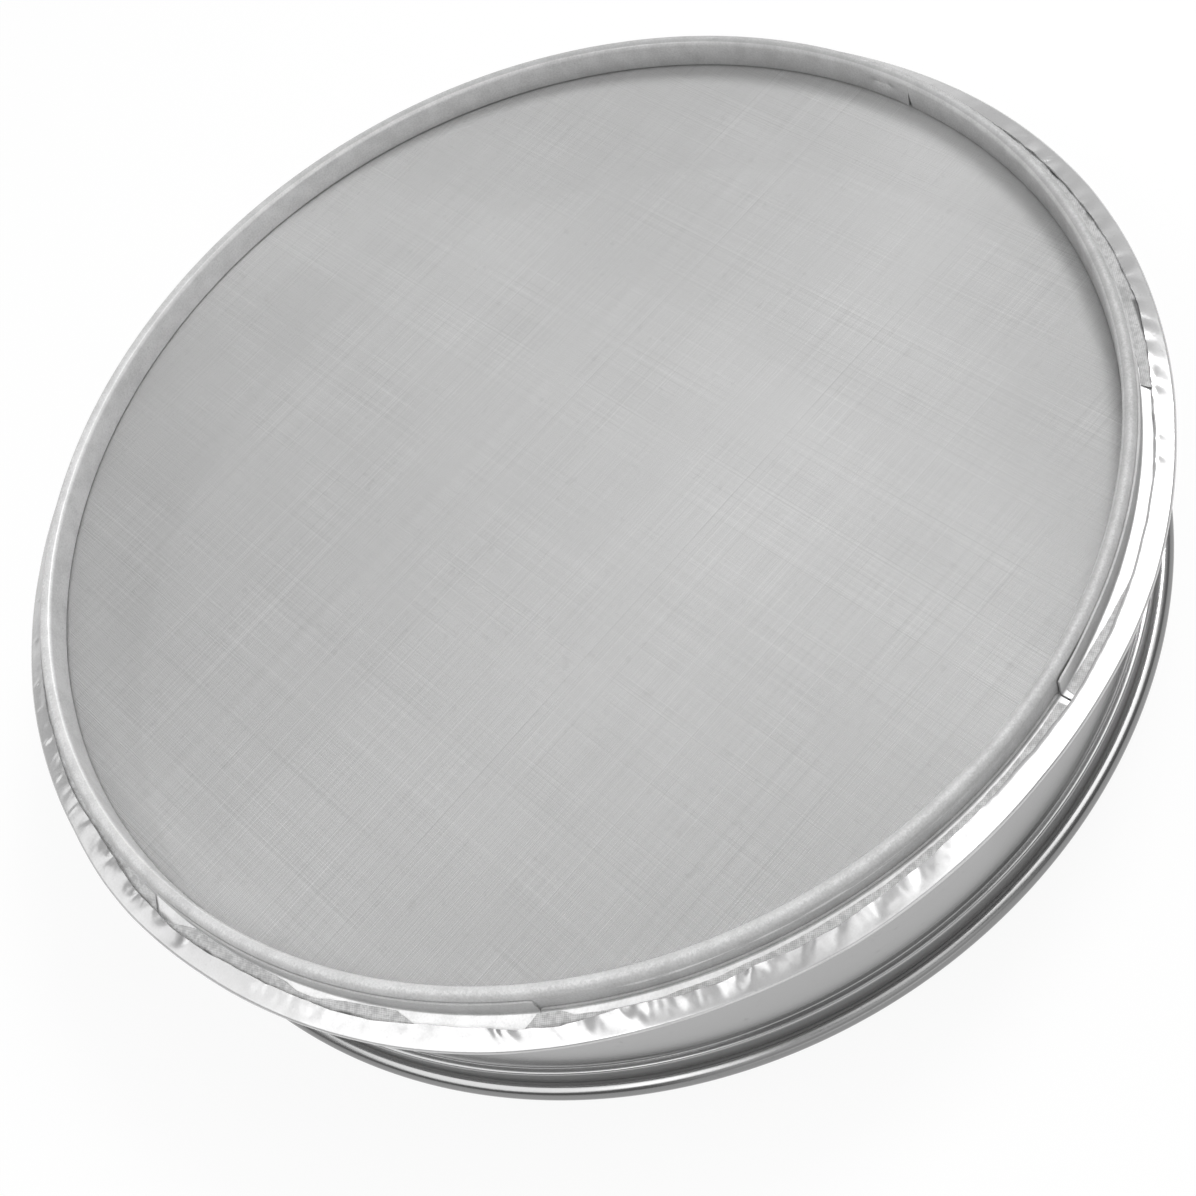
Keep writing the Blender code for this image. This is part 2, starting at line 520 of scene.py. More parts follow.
@dataclass(frozen=True)
class SatinSheet:
    """Bright rolled sheet with faint streaks and smudges, rougher in the groove beside the rim, with
    painted shade in that groove and on the rim's outer side.

    Attributes:
        groove: Greatest radius and height of that groove.
        groove_depth: Heights between which the groove's painted shade grows darker upwards, with painted
            light at its foot.
        darkening: Radii between which painted shade darkens the rim's outer side, standing for a dim
            reflection of the floor.
        fade: Width over which the groove's finish fades out.
    """

    name: str
    tone: float = 0.39
    roughness: float = 0.20
    streak: float = 0.025
    groove: Point = (0.1516, 0.0094)
    groove_depth: Point = (0.0036, 0.0056)
    darkening: Point = (0.1530, 0.1536)
    fade: float = 0.0006

    def material(self, shelf: EffectShelf) -> Material:
        """Build the material.

        Args:
            shelf: The shared effects.

        Returns:
            The material.
        """
        coat = Coat(self.name, shelf)
        nodes = coat.nodes
        streak = coat.effect(Effect.STREAKS, Along=14.0, Across=1500.0)
        mark = coat.effect(Effect.MARKS, Smudge=22.0, Speck=520.0)
        low, high = self.tone * (1 - self.streak), self.tone * (1 + self.streak)
        light = nodes.spread(streak, (0.25, 0.75), low, high)
        # The groove beside the rim is rougher and less metallic; its colour holds painted shade that
        # deepens upwards and painted light that lifts its foot.
        inside = nodes.spread(coat.radius, (self.groove[0] - self.fade, self.groove[0]), 1.0, 0.0)
        below = nodes.spread(coat.height, (self.groove[1] - self.fade, self.groove[1]), 1.0, 0.0)
        painted_shade = nodes.product(inside, below)
        groove_light_and_shade = nodes.gain(painted_shade, nodes.spread(coat.height, self.groove_depth, 1.25, 0.62))
        # Painted shade darkens the rim's outer side.
        darkening = nodes.spread(coat.radius, self.darkening, 1.0, 0.7)
        nodes.feed(coat.shader.inputs["Metallic"], nodes.gain(painted_shade, 0.5))
        dull = nodes.spread(streak, (0.2, 0.8), self.roughness * 0.92, self.roughness * 1.08)
        soiled = nodes.calc("MAXIMUM", mark, nodes.product(painted_shade, 4.0))
        roughness = nodes.calc("MULTIPLY_ADD", soiled, 0.06, dull)
        tone = nodes.product(light, nodes.gain(mark, 0.96), groove_light_and_shade, darkening)
        return coat.finish(tone, roughness, streak, 0.0000012)


@dataclass(frozen=True)
class Scuff:
    """Light rubbed streak along a wall, from one angle to another, about one height."""

    start: float
    end: float
    height: float
    half: float
    gain: float
    ease: float = 0.03

    def mask(self, coat: Coat) -> NodeSocket:
        """Return how strongly the streak shows, from 0 to 1.

        Args:
            coat: The material that carries it.

        Returns:
            The mask's value.
        """
        nodes = coat.nodes
        x, y, z = nodes.axes(coat.place)
        angle = nodes.calc("ARCTAN2", y, x)
        fade = (self.end - self.start) / 2
        comes = nodes.spread(angle, (self.start - self.ease, self.start + self.ease), 0.0, 1.0)
        goes = nodes.spread(angle, (self.end - fade, self.end), 1.0, 0.0)
        patch = nodes.spread(coat.effect(Effect.STREAKS, Along=90.0, Across=1100.0), (0.40, 0.62), 0.0, 1.0)
        return nodes.product(comes, goes, nodes.ridge(z, self.height, self.half), patch)


class Side(Enum):
    """Which side of a limit a zone lies on."""

    INSIDE = "nearer the axis"
    BELOW = "lower"


@dataclass(frozen=True)
class Zone:
    """Part of a piece whose finish differs from the rest, up to a limit of radius or height."""

    side: Side
    limit: float
    gain: float
    metallic: float
    roughness: float
    fade: float = 0.0002

    def mask(self, coat: Coat) -> NodeSocket:
        """Return 1 in the zone and 0 outside it."""
        value = coat.radius if self.side is Side.INSIDE else coat.height
        return coat.nodes.spread(value, (self.limit - self.fade, self.limit + self.fade), 1.0, 0.0)


@dataclass(frozen=True)
class ZincStrip:
    """Dull zinc-coated sheet with soft clouds of tone, fine grain, specks and rubbed places, and, unless
    turned off, painted light that makes one side of the sieve lighter than the other.
    """

    name: str
    tone: float
    roughness: float
    metallic: float
    zone: Zone
    contrast: float = 0.10
    grain_depth: float = 0.00002
    rubbed: Point | None = None
    scuffs: tuple[Scuff, ...] = ()
    uneven: bool = True

    def material(self, shelf: EffectShelf) -> Material:
        """Build the material.

        Args:
            shelf: The shared effects.

        Returns:
            The material.
        """
        coat = Coat(self.name, shelf, self.metallic)
        nodes = coat.nodes
        mottle = coat.effect(Effect.MOTTLE, Cloud=170.0, Grain=1900.0)
        mark = coat.effect(Effect.MARKS, Smudge=60.0, Speck=900.0)
        low, high = self.tone * (1 - self.contrast), self.tone * (1 + self.contrast)
        light = nodes.spread(mottle, (0.32, 0.68), low, high)
        # Painted light: one side of the sieve lighter than the other.
        if self.uneven:
            light = nodes.product(light, coat.effect(Effect.SIDE_LIGHT))
        dull = nodes.spread(mottle, (0.3, 0.7), self.roughness * 1.1, self.roughness * 0.9)
        relief = mottle
        if self.rubbed:
            fine = coat.effect(Effect.MOTTLE, Cloud=1100.0, Grain=2600.0)
            grain = nodes.spread(fine, (0.42, 0.58), 0.0, 1.0)
            rub = nodes.product(nodes.ridge(coat.radius, *self.rubbed), grain)
            light = nodes.product(light, nodes.gain(rub, 1.14))
            relief = nodes.calc("MULTIPLY_ADD", rub, 1.5, mottle)
        for scuff in self.scuffs:
            light = nodes.product(light, nodes.gain(scuff.mask(coat), 1.0 + scuff.gain))
        part = self.zone.mask(coat)
        dull = nodes.product(dull, nodes.gain(part, self.zone.roughness / self.roughness))
        metal = nodes.spread(part, (0.0, 1.0), self.metallic, self.zone.metallic)
        nodes.feed(coat.shader.inputs["Metallic"], metal)
        tone = nodes.product(light, nodes.gain(part, self.zone.gain), nodes.gain(mark, 0.9))
        return coat.finish(tone, dull, relief, self.grain_depth)


@dataclass(frozen=True)
class ClothWire:
    """Drawn wire of the sieve cloth: a few wires stand out from the rest, here and there."""

    name: str = "sieve_wire"
    tone: float = 0.595
    roughness: float = 0.55
    metallic: float = 0.15

    def material(self, shelf: EffectShelf) -> Material:
        """Build the material.

        Args:
            shelf: The shared effects.

        Returns:
            The material.
        """
        coat = Coat(self.name, shelf, self.metallic)
        nodes = coat.nodes
        wire = nodes.add("ShaderNodeAttribute", attribute_name=WIRE_TONE).outputs["Fac"]
        here = nodes.spread(nodes.cloud(coat.place, 24.0, 1.0), (0.35, 0.65), 0.2, 1.0)
        dark = nodes.product(nodes.spread(wire, (0.0, 0.16), 1.0, 0.0), here)
        light = nodes.product(nodes.spread(wire, (0.86, 1.0), 0.0, 1.0), here)
        reach = nodes.spread(nodes.cloud(coat.place, 70.0, 2.0), (0.38, 0.62), 0.03, 0.13)
        varied = nodes.calc("MULTIPLY_ADD", nodes.calc("SUBTRACT", wire, 0.5), reach, 1.0)
        own = nodes.product(nodes.gain(dark, 0.91), nodes.gain(light, 1.08), varied)
        mark = coat.effect(Effect.MARKS, Smudge=14.0, Speck=300.0)
        patch = nodes.cloud(coat.place, 9.0, 3.0)
        broad = nodes.spread(patch, (0.3, 0.7), self.tone * 0.97, self.tone * 1.03)
        tone = nodes.product(broad, own, nodes.gain(mark, 0.95))
        roughness = nodes.calc("MULTIPLY_ADD", mark, 0.06, self.roughness)
        return coat.finish(tone, roughness, nodes.cloud(coat.place, 5000.0, 1.0), 0.000004)


@dataclass(frozen=True)
class HemCloth:
    """Trimmed edge of the cloth where it lies on the foot, with its weave as relief, painted shade in
    patches beneath the lip's inner edge, and painted light that makes one side lighter.
    """

    name: str = "cloth_hem_weave"
    tone: float = 0.66
    roughness: float = 0.65
    metallic: float = 0.15
    pitch: float = 0.00060
    painted_shade: Point = (0.1513, 0.1522)

    def material(self, shelf: EffectShelf) -> Material:
        """Build the material.

        Args:
            shelf: The shared effects.

        Returns:
            The material.
        """
        coat = Coat(self.name, shelf, self.metallic)
        nodes = coat.nodes
        turns = [nodes.product(axis, math.tau / self.pitch) for axis in nodes.axes(coat.place)[:2]]
        waves = nodes.product(*(nodes.calc("SINE", turn) for turn in turns))
        weave = nodes.calc("MULTIPLY_ADD", waves, 0.5, 0.5)
        mark = coat.effect(Effect.MARKS, Smudge=90.0, Speck=700.0)
        light = nodes.spread(weave, (0.0, 1.0), self.tone * 0.82, self.tone * 1.12)
        grain = nodes.spread(nodes.cloud(coat.place, 700.0, 2.0), (0.35, 0.65), 0.85, 1.12)
        # Patches of painted shade beneath the lip's inner edge.
        patch = nodes.spread(nodes.cloud(coat.place, 110.0, 2.0), (0.42, 0.60), 0.0, 1.0)
        edge_shade = nodes.product(nodes.spread(coat.radius, self.painted_shade, 0.0, 1.0), patch)
        darkening = nodes.product(nodes.gain(mark, 0.8), nodes.gain(edge_shade, 0.3))
        # Painted light: one side of the sieve lighter than the other.
        tone = nodes.product(light, grain, darkening, coat.effect(Effect.SIDE_LIGHT, Light=1.2, Dark=0.74))
        return coat.finish(tone, self.roughness, weave, 0.00004)


@dataclass(frozen=True)
class Pucker:
    """A pinched place of the lip.

    Attributes:
        place: Where across the lip it is highest, from 0 at the fold to 1 at the inner edge.
        reach: How far across the lip it fades out.
        lean: How far its ridge runs aside on the way from the inner edge to the fold.
    """

    angle: float
    half: float
    rise: float
    place: float
    reach: float
    lean: float

    def height(self, angle: float, inward: float) -> float:
        """Return how far the pucker lifts the lip.

        Args:
            angle: Place on the circle.
            inward: Share of the way from the fold to the inner edge.

        Returns:
            The height in metres.
        """
        aside = self.lean * (1.0 - inward)
        away = abs(turn_between(angle, self.angle) * Drum.lip_radius - aside) / self.half
        if away >= 1.0:
            return 0.0
        return self.rise * (1.0 - away) ** 1.4 * smooth(1.0 - abs(inward - self.place) / self.reach)


@dataclass(frozen=True)
class PuckerRow:
    """Puckers of one kind, at angles in degrees. Seeded draws make each a little different."""

    places: tuple[float, ...]
    half: float
    rise: float
    place: float
    reach: float
    seed: int

    def puckers(self) -> list[Pucker]:
        """Draw the row's puckers.

        Returns:
            The puckers, in the order of their places.
        """
        draw = random.Random(self.seed)
        row = []
        for place in self.places:
            half = self.half * draw.uniform(0.7, 1.4)
            rise = self.rise * draw.uniform(0.6, 1.3)
            lean = self.half * draw.uniform(-1.0, 1.0)
            row.append(Pucker(math.radians(place), half, rise, self.place, self.reach, lean))
        return row


@dataclass(frozen=True)
class Gathers:
    """Creases across the lip, at angles in degrees, with the sheet bulging between neighbours."""

    creases: tuple[float, ...]
    rise: float
    seed: int
    slant: float

    @cached_property
    def bulges(self) -> list[Point]:
        """Return each bulge's share of the rise and how far it leans to one side."""
        draw = random.Random(self.seed)
        return [(draw.uniform(0.35, 1.2), draw.uniform(0.55, 1.7)) for _ in self.creases]

    def height(self, angle: float, inward: float) -> float:
        """Return how far the sheet bulges.

        Args:
            angle: Place on the circle.
            inward: Share of the way from the fold to the inner edge.

        Returns:
            The height in metres.
        """
        first = self.creases[0]
        place = (math.degrees(angle) + self.slant * (1.0 - inward) - first) % 360.0 + first
        after = bisect.bisect_right(self.creases, place)
        if after == len(self.creases):
            return 0.0
        start = self.creases[after - 1]
        share, lean = self.bulges[after]
        along = ((place - start) / (self.creases[after] - start)) ** lean
        return self.rise * share * math.sin(math.pi * along) ** 1.6 * inward**1.3


@dataclass
class Drum:
    """Drum sheet: rolled rim, step, wall and flange, and the crimped lip folded over the cloth."""

    satin: Material
    crimped: Material
    sheet: float = 0.0005
    wall_radius: float = 0.14845
    drum_height: float = 0.0500
    flange_bend: float = 0.0010
    ledge_top: float = 0.00985
    ledge_bend: float = 0.0005
    crown: Point = (0.0032, math.radians(16))
    crown_edge: float = 0.0003
    band_radius: float = 0.1502
    bead_centre: Point = (0.15215, 0.0022)
    bead_radius: float = 0.0022
    bead_flat: Point = degrees(68, 76)
    bead_flat_radius: float = 0.0065
    bead_end: Point = (0.0012, math.radians(150))
    wall_sway: float = 0.00006
    lip_sheet: float = 0.0004
    lip_radius: float = 0.1565
    lip_top: float = 0.0529
    lip_stations: tuple[float, ...] = (1.0, 0.88, 0.74, 0.58, 0.42, 0.26, 0.12)
    fold_bend: float = 0.00042
    fold_height: float = 0.0513
    flange_seam: float = 0.1520
    sag: Trace = Trace(((-180, 0.0), (-60, 0.0), (-44, 0.3), (155, 0.3), (170, 0.0)))
    curl: Trace = Trace(((-180, 0.0), (-98, 0.0), (-90, 0.24), (-54, 0.24), (-46, 0.0)))
    edge_sway: float = 0.00016
    lip_outline: Trace = Trace(
        ((-180, 157.2), (-170, 157.0), (-160, 157.4), (-150, 157.7), (-140, 157.6), (-130, 157.1))
        + ((-120, 156.9), (-110, 157.3), (-90, 156.6), (-70, 157.2), (-55, 156.6), (-40, 156.9))
        + ((-25, 157.4), (-10, 156.7), (5, 155.6), (20, 155.2), (70, 155.6), (120, 155.2))
        + ((135, 155.4), (150, 156.2), (168, 156.3), (175, 157.0))
    )
    lip_edge: Trace = Trace(
        ((-190, 150.9), (-186, 150.9), (-182, 151.9), (-178, 151.8), (-175, 152.4), (-170, 152.1))
        + ((-162, 151.8), (-156, 152.5), (-152, 152.6), (-147, 152.0), (-142, 152.2), (-138.8, 153.0))
        + ((-137.5, 152.5), (-135, 153.0), (-131.4, 151.9), (-128, 151.4), (-122, 152.2))
        + ((-119.8, 152.3), (-118, 151.7), (-111, 152.5), (-104, 151.8), (-96, 151.4), (-90, 150.9))
        + ((-84, 151.8), (-70, 152.0), (-52, 151.6), (-40, 152.7), (-20, 152.1), (150, 152.0))
        + ((164, 151.6),)
    )
    edge: RaggedEdge = RaggedEdge(((150, 0.00018, 4), (520, 0.00008, 5)))
    gathers: tuple[Gathers, ...] = (
        Gathers((-191.5, -189, -186.2, -183, -180.8, -178.4, -175.6, -172.6), 0.00058, 2, 0.8),
        Gathers((-172.6, -168, -163, -158, -153, -148.5, -143.6), 0.00014, 7, -1.5),
        Gathers((-143.6, -140.6, -138.6, -135.4, -131.6, -128.4), 0.00050, 3, -1.4),
        Gathers((-128.4, -124.6, -121.6, -118.2, -113.6, -110.4, -106, -102.5, -98), 0.00048, 4, 1.2),
        Gathers((-60, -57.8, -55.4, -52.6, -50, -47.6, -45, -42.4, -40, -37.2), 0.00022, 5, 0.6),
        Gathers((-37.2, -34.6, -32, -29, -26, -23, -20, -16.5, -13), 0.00046, 6, -0.6),
    )
    rows: tuple[PuckerRow, ...] = (
        PuckerRow((-19.4, -15.4, -2.3, 1.2), 0.0015, 0.00012, 0.6, 0.5, 8),
        PuckerRow((123, 134.3, 139, 144.1, 149.4, 152.9, 156.8, 161.5, 166), 0.0008, 0.00022, 0.4, 0.4, 9),
    )
    crumpled: tuple[Point, ...] = (degrees(-145, 30), degrees(-118, 30), degrees(165, 30))
    crumple_height: float = 0.00010
    crumple_scale: float = 280.0

    def __post_init__(self) -> None:
        """Work out the places that follow from the sizes, and draw the puckers."""
        self.flange = self.drum_height + self.sheet / 2
        self.fold_reach = self.lip_sheet / 2 + self.fold_bend
        self.puckers = [pucker for row in self.rows for pucker in row.puckers()]

    def gathered(self, angle: float) -> float:
        """Return how strongly the lip is crumpled at an angle, from 0.2 to 1."""
        near = max(smooth(1.5 - 1.5 * abs(turn_between(angle, at)) / half) for at, half in self.crumpled)
        return 0.2 + 0.8 * near

    def wrinkle(self, angle: float, radius: float, inward: float) -> float:
        """Return how far the lip stands proud of its plane, small dents included.

        Args:
            angle: Place on the circle.
            radius: Distance from the axis.
            inward: Share of the way from the fold to the lip's inner edge.

        Returns:
            The height in metres.
        """
        rise = sum(pucker.height(angle, inward) for pucker in self.puckers)
        rise += sum(row.height(angle, inward) for row in self.gathers)
        place = Vector((radius * math.cos(angle), radius * math.sin(angle), 0.0)) * self.crumple_scale
        dents = noise.noise(place) + 0.45 * noise.noise(place * 2.3)
        return rise + self.crumple_height * dents * self.gathered(angle) * smooth(inward * 1.6)

    def seam(self) -> Point:
        """Return the place where the lip's part of the flange meets the body's.

        Returns:
            The radius and the height of the sheet's middle.
        """
        rise = self.fold_height - self.fold_bend - self.flange
        run = self.lip_radius - self.fold_reach - self.wall_radius
        share = min((self.flange_seam - self.wall_radius) / run, 1.0)
        return self.flange_seam, self.flange + rise * share

    def lip_section(self, angle: float) -> Outline:
        """Return the section of the lip, the fold and the flange's outer part.

        Args:
            angle: Place on the circle.

        Returns:
            The closed outline.
        """
        outside = self.lip_outline.at(angle) + self.edge_sway * ripple(angle, 34, 2.2)
        sag = self.sag.at(angle)
        centre = (outside - self.fold_reach, self.fold_height - 1.4 * sag)
        edge = self.lip_edge.at(angle) + self.edge.at(angle)
        outer = centre[1] + self.fold_bend
        inner = self.lip_top - self.lip_sheet / 2 - sag
        path = []
        for inward in self.lip_stations:
            radius = centre[0] + (edge - centre[0]) * inward
            height = outer + (inner - outer) * inward + self.wrinkle(angle, radius, inward)
            path.append((radius, height))
        path[0] = (path[0][0], path[0][1] - self.curl.at(angle))
        path += arc(centre, self.fold_bend, math.pi / 2, -math.pi, 6)
        path.append(self.seam())
        return sheet_outline(path, self.lip_sheet)

    def body_section(self, angle: float) -> Outline:
        """Return the section of the flange, wall, crowned step, band and rolled rim.

        Args:
            angle: Place on the circle.

        Returns:
            The closed outline.
        """
        wall = self.wall_radius + self.wall_sway * ripple(angle, 9, 5.1)
        top = (wall, self.flange)
        ledge = (wall, self.ledge_top)
        radius, sweep = self.crown
        steep = math.pi / 2 - sweep
        reach = radius * math.cos(steep) + self.crown_edge * (1 - math.cos(steep))
        crown = arc((self.band_radius - reach, self.ledge_top - radius), radius, math.pi / 2, -sweep, 5)
        path = [self.seam()]
        path += bend(path[0], top, ledge, self.flange_bend, 5)
        path += bend(top, ledge, crown[0], self.ledge_bend, 7)
        path += crown
        path += carried_on(crown[-1], steep, self.crown_edge, -steep, 6)
        path += self.rolled_rim()
        return sheet_outline(path, self.sheet)

    def rolled_rim(self) -> Outline:
        """Return the middle of the rim's roll, which is pressed a little flat on its upper side.

        Returns:
            The points as (radius, height).
        """
        low, high = self.bead_flat
        tight, end = self.bead_end
        roll = arc(self.bead_centre, self.bead_radius - self.sheet / 2, math.pi, math.pi + low, 26)
        roll += carried_on(roll[-1], low, self.bead_flat_radius, high - low, 4)
        return roll + carried_on(roll[-1], high, tight, end - high, 6)

    def build(self) -> list[Object]:
        """Build and dress the drum.

        Returns:
            The body and the lip.
        """
        body = turned("drum_body", self.body_section, Span(steps=480))
        lip = turned("crimped_lip", self.lip_section, Span(steps=2400))
        finishes = ((body, self.satin), (lip, self.crimped))
        return [dressed(piece, finish, "drum_shell") for piece, finish in finishes]


class WireSet(Enum):
    """The cloth's two sets of wires, by the turn of each set."""

    ALONG_X = 0.0
    ALONG_Y = math.pi / 2


@dataclass
class WireCloth:
    """Woven wire disc, and its trimmed hem on the foot."""

    wire: Material
    hem: Material
    radius: float = 0.1505
    pitch: float = 0.00030
    diameter: float = 0.00021
    height: float = 0.0510
    uneven: float = 0.12
    hem_thickness: float = 0.0002
    hem_height: float = 0.0520
    hem_inner: float = 0.1493
    hem_outer: float = 0.1533
    hem_lift: float = 0.00006
    sloped: Point = degrees(-177, -52)
    slope_ease: float = math.radians(5)
    trim: RaggedEdge = RaggedEdge(((200, 0.00012, 21), (900, 0.00007, 22)))
    cut: Trace = Trace(
        ((-180.2, 149.3), (-179.4, 149.3), (-177.8, 152.4), (-175.8, 151.7), (-174.3, 150.2))
        + ((-173.3, 149.3), (-163.3, 149.3), (-161.8, 149.6), (-160.2, 150.6), (-158.6, 150.8))
        + ((-155.7, 149.8), (-153.3, 149.3), (-150.1, 149.3), (-148.1, 152.0), (-147.6, 152.8))
        + ((-138.3, 152.8), (-137.0, 149.3), (-134.7, 149.3), (-133.8, 150.3), (-131.0, 150.6))
        + ((-127.0, 150.7), (-121.0, 150.2), (-114.0, 149.8), (-96.0, 149.7), (-88.0, 149.5))
        + ((-83.7, 149.4), (-83.6, 152.6), (-82.6, 152.6), (-82.5, 149.4), (-78.0, 149.7))
        + ((-73.0, 150.8), (-70.0, 152.0), (-68.0, 152.8), (-50.6, 152.8), (-50.0, 149.3))
    )

    @staticmethod
    def wire_tree() -> NodeTree:
        """Build the Geometry Nodes tree that lays one set of wires.

        Returns:
            The tree, with its sizes as named inputs.
        """
        tree = bpy.data.node_groups.new("wire_rows", "GeometryNodeTree")
        for name in ("Cloth Radius", "Pitch", "Wire Diameter", "Height", "Turn", "Uneven"):
            tree.interface.new_socket(name, in_out="INPUT", socket_type="NodeSocketFloat")
        tree.interface.new_socket("Seed", in_out="INPUT", socket_type="NodeSocketInt")
        tree.interface.new_socket("Finish", in_out="INPUT", socket_type="NodeSocketMaterial")
        tree.interface.new_socket("Wires", in_out="OUTPUT", socket_type="NodeSocketGeometry")
        nodes = Nodes(tree)
        given = nodes.add("NodeGroupInput").outputs
        radius, pitch, seed = given["Cloth Radius"], given["Pitch"], given["Seed"]

        count = nodes.calc("FLOOR", nodes.calc("DIVIDE", nodes.product(radius, 2.0), pitch))
        first = nodes.product(nodes.calc("SUBTRACT", count, 1.0), pitch, -0.5)
        row = {
            "Count": count,
            "Start Location": nodes.vector(0.0, first, 0.0),
            "Offset": nodes.vector(0.0, pitch, 0.0),
        }
        line = nodes.add("GeometryNodeMeshLine", row, mode="OFFSET").outputs[0]
        slip = nodes.add("FunctionNodeRandomValue", {2: -1.0, "Seed": seed}, data_type="FLOAT")
        aside = nodes.vector(0.0, nodes.product(slip.outputs[1], pitch, given["Uneven"]), 0.0)
        rows = nodes.add("GeometryNodeSetPosition", {"Geometry": line, "Offset": aside}).outputs[0]

        away = nodes.axes(nodes.add("GeometryNodeInputPosition").outputs[0])[1]
        chord = nodes.calc("SUBTRACT", nodes.product(radius, radius), nodes.product(away, away))
        rod = {"Vertices": 6, "Radius": nodes.product(given["Wire Diameter"], 0.5), "Depth": 2.0}
        drawn = nodes.add("GeometryNodeMeshCylinder", rod).outputs
        rounded = {"Geometry": drawn["Mesh"], "Selection": drawn["Side"]}
        lay = {
            "Points": rows,
            "Instance": nodes.add("GeometryNodeSetShadeSmooth", rounded).outputs[0],
            "Rotation": (0.0, math.pi / 2, 0.0),
            "Scale": nodes.vector(1.0, 1.0, nodes.calc("SQRT", chord)),
        }
        laid = nodes.add("GeometryNodeInstanceOnPoints", lay).outputs[0]

        draw = {"Seed": nodes.calc("ADD", seed, 1.0)}
        tone = nodes.add("FunctionNodeRandomValue", draw, data_type="FLOAT").outputs[1]
        mark = {"Geometry": laid, "Name": WIRE_TONE, "Value": tone}
        toned = nodes.add("GeometryNodeStoreNamedAttribute", mark, domain="INSTANCE").outputs[0]
        place = {
            "Geometry": toned,
            "Translation": nodes.vector(0.0, 0.0, given["Height"]),
            "Rotation": nodes.vector(0.0, 0.0, given["Turn"]),
        }
        placed = nodes.add("GeometryNodeTransform", place).outputs[0]
        real = nodes.add("GeometryNodeRealizeInstances", {"Geometry": placed}).outputs[0]
        coated = nodes.add("GeometryNodeSetMaterial", {"Geometry": real, "Material": given["Finish"]})
        nodes.add("NodeGroupOutput", {"Wires": coated.outputs[0]})
        return tree

    def lay_wires(self, tree: NodeTree, wires: WireSet, seed: int) -> Object:
        """Lay one set of wires as a plain mesh.

        Args:
            tree: The Geometry Nodes tree.
            wires: Which set.
            seed: Seed of their spacing and tones.

        Returns:
            The piece.
        """
        name = f"cloth_wires_{wires.name.lower()}"
        maker = bpy.data.objects.new("wire_maker", bpy.data.meshes.new("wire_maker"))
        bpy.context.scene.collection.objects.link(maker)
        modifier = maker.modifiers.new("wires", "NODES")
        modifier.node_group = tree
        values = {
            "Cloth Radius": self.radius,
            "Pitch": self.pitch,
            "Wire Diameter": self.diameter,
            "Height": self.height,
            "Turn": wires.value,
            "Uneven": self.uneven,
            "Seed": seed,
            "Finish": self.wire,
        }
        for socket in tree.interface.items_tree:
            if socket.in_out == "INPUT":
                modifier[socket.identifier] = values[socket.name]
        graph = bpy.context.evaluated_depsgraph_get()
        mesh = bpy.data.meshes.new_from_object(maker.evaluated_get(graph))
        mesh.name = name
        mesh.polygons.foreach_set("material_index", [0] * len(mesh.polygons))
        bpy.data.objects.remove(maker)
        piece = bpy.data.objects.new(name, mesh)
        bpy.context.scene.collection.objects.link(piece)
        return piece

    def hem_section(self, angle: float) -> Outline:
        """Return the section of the hem.

        Args:
            angle: Place on the circle.

        Returns:
            The closed outline.
        """
        edge = min(self.cut.at(angle) + self.trim.at(angle), self.hem_outer - self.hem_thickness)
        lift = self.hem_lift * ripple(angle, 90, 4.4)
        place = turn_between(angle, 0.0)
        within = min(place - self.sloped[0], self.sloped[1] - place)
        slope = FOOT_SLOPE * smooth(within / self.slope_ease)
        path = []
        for share, raised in ((0.0, lift), (0.5, 0.0), (1.0, 0.0)):
            radius = edge + (self.hem_outer - edge) * share
            path.append((radius, self.hem_height - slope * (radius - self.hem_inner) + raised))
        return sheet_outline(path, self.hem_thickness)

    def build(self) -> list[Object]:
        """Build and dress the cloth.

        Returns:
            Both sets of wires and the hem.
        """
        tree = self.wire_tree()
        along_x = self.lay_wires(tree, WireSet.ALONG_X, 31)
        along_y = self.lay_wires(tree, WireSet.ALONG_Y, 41)
        hem = turned("cloth_hem", self.hem_section, Span(steps=1800))
        finishes = ((along_x, self.wire), (along_y, self.wire), (hem, self.hem))
        return [dressed(piece, finish, "sieve_cloth") for piece, finish in finishes]


